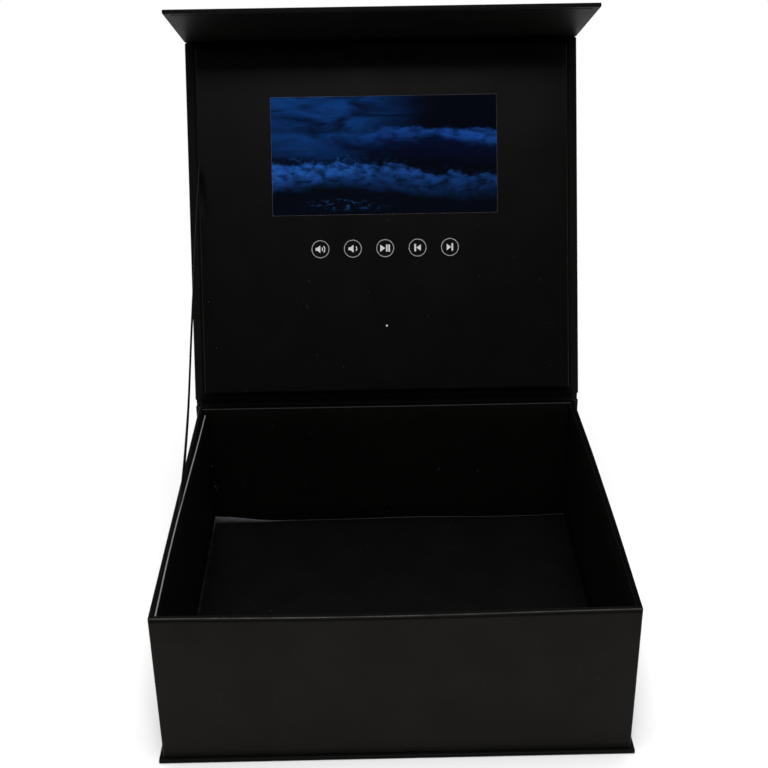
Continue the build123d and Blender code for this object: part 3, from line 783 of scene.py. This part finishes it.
def wall_liners(holder):
    """Loose black cards along the walls, bowed, their light cut edges on top."""
    # millimetres that the top edge leans to the right or back, at five places from front or left on
    leans = {
        "left": (0.0, -0.55, 0.0, 1.1, 1.8),
        "right": (0.0, 0.0, 0.0, -0.3, -0.8),
        "front": (0.0, 0.2, 0.3, 0.2, 0.0),
        "back": (0.2, -0.1, -0.3, -0.2, 0.0),
    }
    # tones of the liners' cut edges: the left shows the light card, the others are painted darker as shade,
    # most on the right
    edge_tones_with_shade = {"left": 0.15, "right": 0.0015, "front": 0.003, "back": 0.035}
    # the side cards are painted lighter than the front and back cards: lit and shaded copies of one black
    # card
    side_lit_tone, end_shaded_tone = (0.0036, 0.0036, 0.0030), (0.0020, 0.0020, 0.0016)
    behind_all = 1.0        # metres back, so that no corner of a front or back card is darkened
    for side, lean in leans.items():
        node = "liner_" + side
        low, high = limits(node)
        card = copied(node, side + "_card")
        along_y = side in ("left", "right")
        if along_y:
            sliced(card, (0, 1, 0), between(low.y, high.y, 15))
        else:
            sliced(card, (1, 0, 0), between(low.x, high.x, 15))
        sliced(card, (0, 0, 1), between(low.z, high.z, 5))
        softened(card, CARD_EDGE)
        bowed(card, holder)
        moves = {}
        for place, push in enumerate(lean):
            for face in range(2):
                point = (face, place) if along_y else (place, face)
                shift = Vector((push, 0, 0)) if along_y else Vector((0, push, 0))
                moves[(*point, 2)] = shift
                moves[(*point, 1)] = shift * 0.25
        own = cage(low, high, (2, 5, 3) if along_y else (5, 2, 3), moves)
        bowed(card, own)
        bpy.data.objects.remove(own)
        smooth(card)
        tone = edge_tones_with_shade[side]
        material = paper(
            side + " liner card", side_lit_tone if along_y else end_shaded_tone, 0.6, 1.3, 0.04, dust=0.5,
            cut=seen_edge(high.z, high.y if along_y else behind_all), cut_and_highlight_colour=(tone, tone, tone * 1.02),
        )
        finished(card, material, "box", "liner_card", node)


def floor_card():
    """The loose floor card: its back left corner has curled up and its back edge waves a little."""
    low, high = limits("floor_liner")
    card = copied("floor_liner", "floor_card")
    sliced(card, (1, 0, 0), between(low.x, high.x, 25))
    sliced(card, (0, 1, 0), between(low.y, high.y, 23))
    softened(card, CARD_EDGE)
    pushed(card, (low.x, high.y, high.z), 46 * MM, (1.2 * MM, -1.2 * MM, 5.0 * MM))
    pushed(card, (high.x, high.y, high.z), 30 * MM, (0, 0, 1.2 * MM))
    pushed(card, (20 * MM, high.y, high.z), 60 * MM, (0, 0.15 * MM, 0.7 * MM))
    smooth(card)

    def bare_and_curl_highlight(made, place):
        """Where the card shows its grey inside along the back and up the left edge, and a painted highlight
        widening the back strip at the curl.
        """
        x, y, _ = made.parts(place)
        curl = (x - low.x).ramp(0, 75 * MM, 1.0, 0.0)
        reach = curl * curl * 9 * MM + 0.7 * MM
        back = (1 - (high.y - y) / reach).most(0.0)
        back = back * (curl * 0.4 + 0.6) * made.noise(300.0, 2.0).ramp(0.3, 0.6, 0.7, 1.0)
        torn = (high.y - y).ramp(2 * MM, 26 * MM, 1.0, 0.1) * made.noise(420.0, 3.0).ramp(0.4, 0.6, 0.1, 1.0)
        return back.most((x - low.x).ramp(1.0 * MM, 2.4 * MM, 0.6, 0.0) * torn)

    # the lavender is the card's inside, and at the curl a painted highlight
    material = paper(
        "floor liner card", (0.0020, 0.0020, 0.0020), 0.55, 1.3, 0.034, dust=0.4,
        cut=bare_and_curl_highlight, cut_and_highlight_colour=(0.10, 0.098, 0.112),
    )
    finished(card, material, "box", "liner_card", "floor_liner")


def glue_specks(material):
    """Dried glue in the back left corner and a torn fleck at the floor card's far right corner."""
    left, back = limits("liner_left")[1].x + 1.2 * MM, limits("liner_back")[0].y
    right, floor_top = limits("floor_liner")[1].x, limits("floor_liner")[1].z
    places = (  # and radii in millimetres
        (left + 0.6 * MM, back - 0.2 * MM, 52 * MM, 0.8),
        (left + 1.8 * MM, back - 0.1 * MM, 35 * MM, 0.8),
        (left + 2.3 * MM, back - 0.1 * MM, 33 * MM, 0.5),
        (right - 1.4 * MM, back - 1.0 * MM, floor_top + 0.5 * MM, 0.8),
    )
    made = []
    for number, (x, y, z, radius) in enumerate(places):
        bpy.ops.mesh.primitive_ico_sphere_add(subdivisions=3, radius=radius * MM, location=(x, y, z))
        speck = bpy.context.object
        for v in speck.data.vertices:
            lump = sin(v.co.x / MM * 5 + number) * sin(v.co.z / MM * 4 + 2 * number) * 0.3 + 1
            v.co = Vector((v.co.x * lump, v.co.y * 0.3, v.co.z * (lump + 0.3)))
        bpy.ops.object.transform_apply(location=True)
        made.append(speck)
    only(made[0])
    for speck in made[1:]:
        speck.select_set(True)
    bpy.ops.object.join()
    joined = bpy.context.object
    joined.name = "glue_specks"
    smooth(joined, 60)
    finished(joined, material, "box", "liner_card")


# ---- hinges and ribbon
def folded(fold, gusset, finishes):
    """Rounds a fold's outer wrap and inner lining, and gives both their thickness and finish."""
    for piece, material in zip((fold, gusset), finishes):
        rounded(piece)
        thickened(piece, PAPER if piece is fold else LINING)
        smooth(piece, 60)
        dress(piece, material)
    return fold, gusset


def lid_point(s, n):
    """A point over the lid's middle line, in the frame's axes."""
    return LID @ Vector((0, s, n))


def lid_hinge_papers(finishes):
    """Outer wrap and inner lining where they fold at the spine."""
    cover_width = 2 * BASE[1].x
    back = PIVOT.y - PAPER / 2
    outer = [
        (0, back, RIM - 0.2 * MM), (0, back, PIVOT.z - 1.6 * MM), (0, back + 0.02 * MM, PIVOT.z - 0.8 * MM),
        (0, back + 0.06 * MM, PIVOT.z), lid_point(0.8 * MM, 0.06 * MM),
        lid_point(1.6 * MM, PAPER / 2), lid_point(2.6 * MM, PAPER / 2),
    ]
    fold = strip("spine_fold", (0, back, RIM - 1.2 * MM), (cover_width - FOLD_INSET, 0, 0), outer)
    rise = RIM + 0.12 * MM
    n_in = LID_PANEL[1].z + LINING / 2
    inner = [
        (0, INNER_BACK + 1.2 * MM, rise), (0, INNER_BACK + 2.2 * MM, rise + 0.1 * MM),
        (0, INNER_BACK + 2.9 * MM, rise + 0.8 * MM), (0, INNER_BACK + 3.2 * MM, rise + 2.0 * MM),
        (0, INNER_BACK + 3.3 * MM, rise + 3.4 * MM), lid_point(1.2 * MM, n_in),
        lid_point(2.2 * MM, n_in), lid_point(5.6 * MM, n_in),
    ]
    start = (0, INNER_BACK + 0.1 * MM, rise)
    gusset = strip("spine_lining", start, (cover_width - LINING_INSET, 0, 0), inner)
    for piece in folded(fold, gusset, finishes):
        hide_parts("lid_hinge_paper")
        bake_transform(piece)


def crease_papers(finishes):
    """Outer wrap and inner lining where they fold between lid and flap."""
    cover_width = 2 * BASE[1].x
    axis = LID.inverted() @ Vector(JOINTS["flap_hinge"]["pos_m"])
    lid_end, flap_root = LID_PANEL[1].y, FLAP_PANEL[0].z
    outside = axis.y - PAPER / 2
    outer = [
        (lid_end, PAPER / 2), (outside - 1.0 * MM, PAPER / 2), (outside - 0.35 * MM, PAPER * 0.8),
        (outside - 0.05 * MM, 0.55 * MM), (outside, 1.2 * MM), (outside, flap_root + 1.0 * MM),
    ]
    fold = strip(
        "crease_fold", lid_point(lid_end - 1.5 * MM, PAPER / 2), (cover_width - FOLD_INSET, 0, 0),
        [lid_point(s, n) for s, n in outer],
    )
    n_in = LID_PANEL[1].z + LINING / 2
    s_in = FLAP_PANEL[0].y - LINING / 2
    inner = [
        (lid_end - 0.15 * MM, n_in), (lid_end + 0.18 * MM, n_in - 0.5 * MM), (lid_end + 0.2 * MM, 1.0 * MM),
        (lid_end + 0.8 * MM, 0.5 * MM), (outside - 0.9 * MM, 0.6 * MM), (outside - 0.4 * MM, 1.4 * MM),
        (outside - 0.7 * MM, flap_root - 0.25 * MM), (s_in + 0.4 * MM, flap_root - 0.2 * MM),
        (s_in, flap_root + 0.5 * MM), (s_in, flap_root + 4.2 * MM),
    ]
    gusset = strip(
        "crease_lining", lid_point(lid_end - 4.2 * MM, n_in), (cover_width - LINING_INSET, 0, 0),
        [lid_point(s, n) for s, n in inner],
    )
    for piece in folded(fold, gusset, finishes):
        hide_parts("flap_hinge_paper")
        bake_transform(piece)


def ribbon_stay(material):
    """The satin ribbon: glued behind the left card, up beside the lid and into the raised block."""
    enter = LID @ Vector((BLOCK[0].x + 0.55 * MM, RIBBON_ENTRY_S, RIBBON_ENTRY_N))
    wall = Vector((TRAY[0].x + WALL + 0.4 * MM, RIBBON_WALL_Y, RIM))
    run = enter - wall
    run.x = 0
    run.normalize()
    side = Vector((0, -run.z, run.y)) * RIBBON_WIDTH
    # millimetres that the ribbon stands off the straight line to the right, at shares of its length
    stand = (
        (0.06, 0.9), (0.15, 1.3), (0.25, 1.7), (0.35, 1.3), (0.45, 0.8), (0.6, 0.4),
        (0.75, 0.0), (0.88, -0.1), (0.96, 0.0), (1.0, 0.0),
    )
    route = [wall - run * 8 * MM, wall]
    for share, off in stand:
        route.append(wall.lerp(enter, share) + Vector((off * MM, 0, 0)))
    route.append(enter + run * RIBBON_LID_TAIL)
    ribbon = strip("ribbon", wall - run * RIBBON_WALL_TAIL, side, route)
    # it turns a little towards the middle of its free length
    turn = 0.5 * MM
    for v in ribbon.data.vertices:
        share = min(1.0, max(0.0, (v.co - wall).dot(run) / (enter - wall).dot(run)))
        v.co.x += turn * sin(pi * share) ** 0.5 * (v.co - wall).dot(side) / side.length_squared
    across = side.normalized()
    sliced(ribbon, tuple(across), [across.dot(wall) + RIBBON_WIDTH * k / 8 for k in (-2, 0, 2)])
    rounded(ribbon, 2)
    thickened(ribbon, RIBBON_THICKNESS)
    smooth(ribbon, 60)
    dress(ribbon, material)
    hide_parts("ribbon_stay")
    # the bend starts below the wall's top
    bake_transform(ribbon)


# ---- lid block, screen and keys
def block_cover():
    """The black card over the raised block, with a crease pulled into it by the ribbon and painted shade
    along it.
    """
    cover = copied("facing_card", "block_cover")
    low, high = BLOCK
    columns = (1.2, 2.4, 3.6, 5.0, 6.5, 8.5, 11.0)
    rows = (118, 123, 128, 132, 136, 140, 144, 148, 152, 156, 160, 165)
    sliced(cover, (1, 0, 0), [low.x + column * MM for column in columns], LID)
    sliced(cover, (0, 1, 0), [row * MM for row in rows], LID)
    for step in range(6):
        s, x = (153 - 5.5 * step) * MM, low.x + (0.5 + 0.6 * step) * MM
        pushed(cover, LID @ Vector((x, s, high.z)), 4.0 * MM, OUT * (-0.6 + 0.08 * step) * MM)
    smooth(cover, 35)
    # its lightened edges include a painted highlight along the block's left edge
    material = paper(
        "facing card", (0.0005, 0.0005, 0.0004), 0.31, 1.0, 0.066, box=BLOCK, on_lid=True, edge_wear_and_highlight=0.22,
        worn_and_lit_colour=(0.05, 0.05, 0.052), dust=0.35, cut=window_edge, cut_and_highlight_colour=(0.16, 0.16, 0.165),
        fold=ribbon_crease_shade,
    )
    finished(cover, material, "lid", "facing_black", "facing_card")


def speaker_mark(left, width):
    return [
        (left, -1.0), (left + width * 0.38, -1.0), (left + width, -2.55), (left + width, 2.55),
        (left + width * 0.38, 1.0), (left, 1.0),
    ]


def wave_mark(radius, line, centre_x):
    half_angle = 42
    outer = arc(radius, -half_angle, half_angle, 16, (centre_x, 0))
    inner = arc(radius - line, half_angle, -half_angle, 16, (centre_x, 0))
    return outer + inner


def bar_mark(left, width, height):
    right, top = left + width, height / 2
    return [(left, -top), (right, -top), (right, top), (left, top)]


def arrow_mark(tip, base, height):
    return [(tip, 0), (base, height / 2), (base, -height / 2)]


def key_prints(symbol_white, ring_grey):
    """A thin grey ring and a white symbol on each key."""
    full_turn = (0, 354.375, 63)  # degrees and steps: the outline closes itself
    ring = [arc(6.05, *full_turn), arc(5.55, *full_turn)]
    marks = {
        "volume_up": [speaker_mark(-3.3, 3.2), wave_mark(1.9, 0.6, -0.15), wave_mark(3.4, 0.6, -0.15)],
        "volume_down": [speaker_mark(-3.0, 3.5), wave_mark(2.4, 0.65, 0.6)],
        "play_pause": [arrow_mark(0.0, -3.4, 4.9), bar_mark(0.55, 1.05, 4.9), bar_mark(2.15, 1.05, 4.9)],
        "previous": [bar_mark(-2.2, 1.15, 5.0), arrow_mark(-0.85, 2.2, 4.5)],
        "next": [arrow_mark(0.85, -2.2, 4.5), bar_mark(1.05, 1.15, 5.0)],
    }
    film, lift = 0.04 * MM, 0.005 * MM
    for key in KEYS:
        low, high = lid_limits(key + "_button")
        centre = (low + high) / 2
        face = LID @ Matrix.Translation((centre.x, centre.y, high.z + lift))
        prints = ((key + "_ring", ring, ring_grey), (key + "_symbol", marks[key], symbol_white))
        for name, outlines, material in prints:
            mark = flat_shape(name, outlines, film)
            mark.data.transform(face)
            finished(mark, material, key, "key_black")


# ---- stage
def background(light):
    """White towards the camera, a plain grey light on the object."""
    world = bpy.data.worlds.new("studio")
    bpy.context.scene.world = world
    world.use_nodes = True
    nodes, links = world.node_tree.nodes, world.node_tree.links
    path = nodes.new("ShaderNodeLightPath")
    seen = nodes.new("ShaderNodeMath")
    seen.operation = "ADD"
    links.new(path.outputs["Is Camera Ray"], seen.inputs[0])
    links.new(path.outputs["Is Transmission Ray"], seen.inputs[1])
    strength = nodes.new("ShaderNodeMapRange")
    strength.inputs["To Min"].default_value = light
    strength.inputs["To Max"].default_value = 1.0
    links.new(seen.outputs[0], strength.inputs["Value"])
    links.new(strength.outputs[0], nodes["Background"].inputs["Strength"])
    nodes["Background"].inputs["Color"].default_value = (1, 1, 1, 1)


def stage_floor():
    """A plain pale floor that fades to white away from the object."""
    bpy.ops.mesh.primitive_plane_add(size=14, location=(0, 2, -0.0002))
    floor = named("floor")
    made = Finish("pale floor", Roughness=0.9, Specular_IOR_Level=0.1)
    made.feed("Base Color", made.mix(made.noise(3.0, 2.0), (0.91, 0.91, 0.91), (0.93, 0.93, 0.93)))
    light = made.tree.nodes.new("ShaderNodeEmission")
    light.inputs["Color"].default_value = (1, 1, 1, 1)
    path = made.tree.nodes.new("ShaderNodeLightPath")
    seen = Value(made, path.outputs["Is Camera Ray"])
    x, y, _ = made.parts()
    far = (x * x + (y - 0.02) * (y - 0.02)).power(0.5).ramp(0.16, 0.42)
    both = made.tree.nodes.new("ShaderNodeMixShader")
    made.tree.links.new((far * seen).socket, both.inputs[0])
    made.tree.links.new(made.shader.outputs[0], both.inputs[1])
    made.tree.links.new(light.outputs[0], both.inputs[2])
    made.tree.links.new(both.outputs[0], made.tree.nodes["Material Output"].inputs["Surface"])
    dress(floor, made.material)


def lamp(name, place, aim, size, power):
    data = bpy.data.lights.new(name, "AREA")
    data.size = size
    data.energy = power
    holder = bpy.data.objects.new(name, data)
    bpy.context.scene.collection.objects.link(holder)
    holder.location = place
    holder.rotation_euler = (Vector(aim) - Vector(place)).to_track_quat("-Z", "Y").to_euler()


def camera():
    """The photograph's view: place, turns down, aside and about the line of sight, and lens."""
    place = Vector((-10.03, -669.0, 506.9)) * MM
    down, aside, roll = radians(26.490), radians(0.578), radians(-0.821)
    forward = Vector((sin(aside) * cos(down), cos(aside) * cos(down), -sin(down)))
    right = Vector((cos(aside), -sin(aside), 0))
    up = right.cross(forward)
    across = right * cos(roll) + up * sin(roll)
    upward = up * cos(roll) - right * sin(roll)
    data = bpy.data.cameras.new("camera")
    data.lens = 59.68
    data.sensor_width = 36
    data.clip_start, data.clip_end = 0.05, 50
    view = bpy.data.objects.new("camera", data)
    bpy.context.scene.collection.objects.link(view)
    turn = Matrix((across, upward, -forward)).transposed()
    view.matrix_world = Matrix.Translation(place) @ turn.to_4x4()
    bpy.context.scene.camera = view


# ---- everything together
def cover_papers():
    """The wraps and linings of the cover's panels."""
    return {
        # painted darker than the other wraps, as shade on the base's front lip below the tray
        "base_wrap": paper(
            "base wrap", (0.0030, 0.0028, 0.0025), 0.42, 1.0, 0.03, box=BASE, edge_wear_and_highlight=0.08, dust=0.3,
        ),
        "spine_wrap": paper(
            "spine wrap", WRAP_TONE, 0.42, 1.0, 0.03, box=limits("spine_wrap"), edge_wear_and_highlight=0.3, dust=0.3,
        ),
        "lid_wrap": paper(
            "lid wrap", WRAP_TONE, 0.42, 1.0, 0.03, box=LID_PANEL, on_lid=True, edge_wear_and_highlight=0.3, dust=0.3,
            fold=turned_in_shade(LID_PANEL[1].z, 0.55),
        ),
        "flap_wrap": paper(
            "flap wrap", (0.0068, 0.0068, 0.0072), 0.46, 1.0, 0.03, box=FLAP_PANEL, on_lid=True, edge_wear_and_highlight=0.15,
            dust=0.3, fold=turned_in_shade(FLAP_PANEL[1].z, 0.6),
        ),
        "base_lining": paper("base lining paper", (0.0018, 0.0018, 0.0015), 0.5, 1.2, 0.06, dust=0.3),
        "lid_lining": paper(
            "lining paper", (0.0013, 0.0013, 0.0011), 0.5, 1.2, 0.028, box=lid_limits("lid_lining"),
            on_lid=True, edge_wear_and_highlight=0.5, worn_and_lit_colour=(0.02, 0.02, 0.019), dust=0.3,
        ),
        # painted lighter than the lid's lining, standing in for the light that the flap's underside reflects
        # at its ends
        "flap_lining": paper(
            "flap lining paper", (0.0032, 0.0032, 0.0028), 0.45, 1.2, 0.025, on_lid=True, dust=0.2,
        ),
    }


def inner_finishes():
    """What the screen, the keys and the hidden pieces are made of."""
    tin, green = metal("tinned sheet", (0.6, 0.6, 0.61), 0.3), circuit()
    leads = plastic("red leads", (0.32, 0.02, 0.02), 0.45)
    flat_cable = plastic("flat cable", (0.6, 0.3, 0.06), 0.35, 0.6)
    black_plastic = plastic("matt black keys", (0.0009, 0.0009, 0.0010), 0.45, 1.0, 0.05)
    ivory = plastic("ivory plunger", (0.6, 0.58, 0.5), 0.4)
    finishes = {
        "foam_insert": foam(),
        "magnets": metal("nickel", (0.6, 0.6, 0.62), 0.25),
        "screen_glass": seascape(),
        "screen_bezel": tin,
        "charging_socket": tin,
        "screen_backlight": plastic("backlight", (0.75, 0.75, 0.77), 0.4),
        "screen_flat_cable": flat_cable,
        "key_flat_cable": flat_cable,
        "main_board": green,
        "key_board": green,
        "board_chips": plastic("moulded chips", (0.03, 0.03, 0.032), 0.55),
        "tact_switches": plastic("switch bodies", (0.04, 0.04, 0.042), 0.5),
        "battery": plastic("battery pouch", (0.55, 0.57, 0.6), 0.3, 0.4, 0.6, 0.6),
        "battery_leads": leads,
        "speaker_leads": leads,
        "sensor_leads": leads,
        "speaker_frame": plastic("speaker frame", (0.03, 0.03, 0.03), 0.5),
        "speaker_cone": plastic("speaker cone", (0.02, 0.02, 0.022), 0.8, 0.5),
        "light_sensor": plastic("sensor lens", (0.60, 0.61, 0.62), 0.35),
    }
    for key in KEYS:
        finishes[key + "_button"] = black_plastic
        finishes[key + "_plunger"] = ivory
    return finishes


def main():
    bpy.context.scene.view_settings.view_transform = "Standard"
    board, steel = greyboard(), metal("steel", (0.55, 0.55, 0.56), 0.34)
    # its lightened edges are wear and a painted highlight along the rim's outer edge
    tray_wrap = paper(
        "tray wrap", WRAP_TONE, 0.42, 1.0, 0.03, box=TRAY, bent=True, edge_wear_and_highlight=0.95,
        worn_and_lit_colour=(0.135, 0.135, 0.132), dust=0.3, fold=rim_painted_shade,
    )
    fold_papers = (
        paper("folded wrap", WRAP_TONE, 0.46, 1.0, 0.03, on_lid=True, scuffs=0.3),
        paper("folded lining paper", (0.0014, 0.0014, 0.0012), 0.6, 1.2, 0.02, on_lid=True, scuffs=0.1),
    )
    holder = tray_cage()
    tray_skin(holder, tray_wrap)
    tray_cores(holder, board, steel)
    wall_liners(holder)
    floor_card()
    glue_specks(plastic("dried glue", (0.016, 0.016, 0.015), 0.5, 0.5))
    bpy.data.objects.remove(holder)
    lid_hinge_papers(fold_papers)
    crease_papers(fold_papers)
    block_cover()
    ribbon_stay(satin())
    key_prints(ink("white print", 0.6), ink("grey print", 0.30))

    finishes = {**cover_papers(), **inner_finishes()}
    finishes["tray_floor_board"] = finishes["base_lining"]
    for node, piece in frame["nodes"].items():
        dress(piece, finishes.get(node, board))

    stage_floor()
    background(light=0.35)
    lamp("overhead", place=(0, 0, 1.8), aim=(0, 0, 0.1), size=1.2, power=27)
    lamp("front", place=(0, -1.3, 1.85), aim=(0, 0, 0.15), size=0.9, power=20)
    camera()


main()
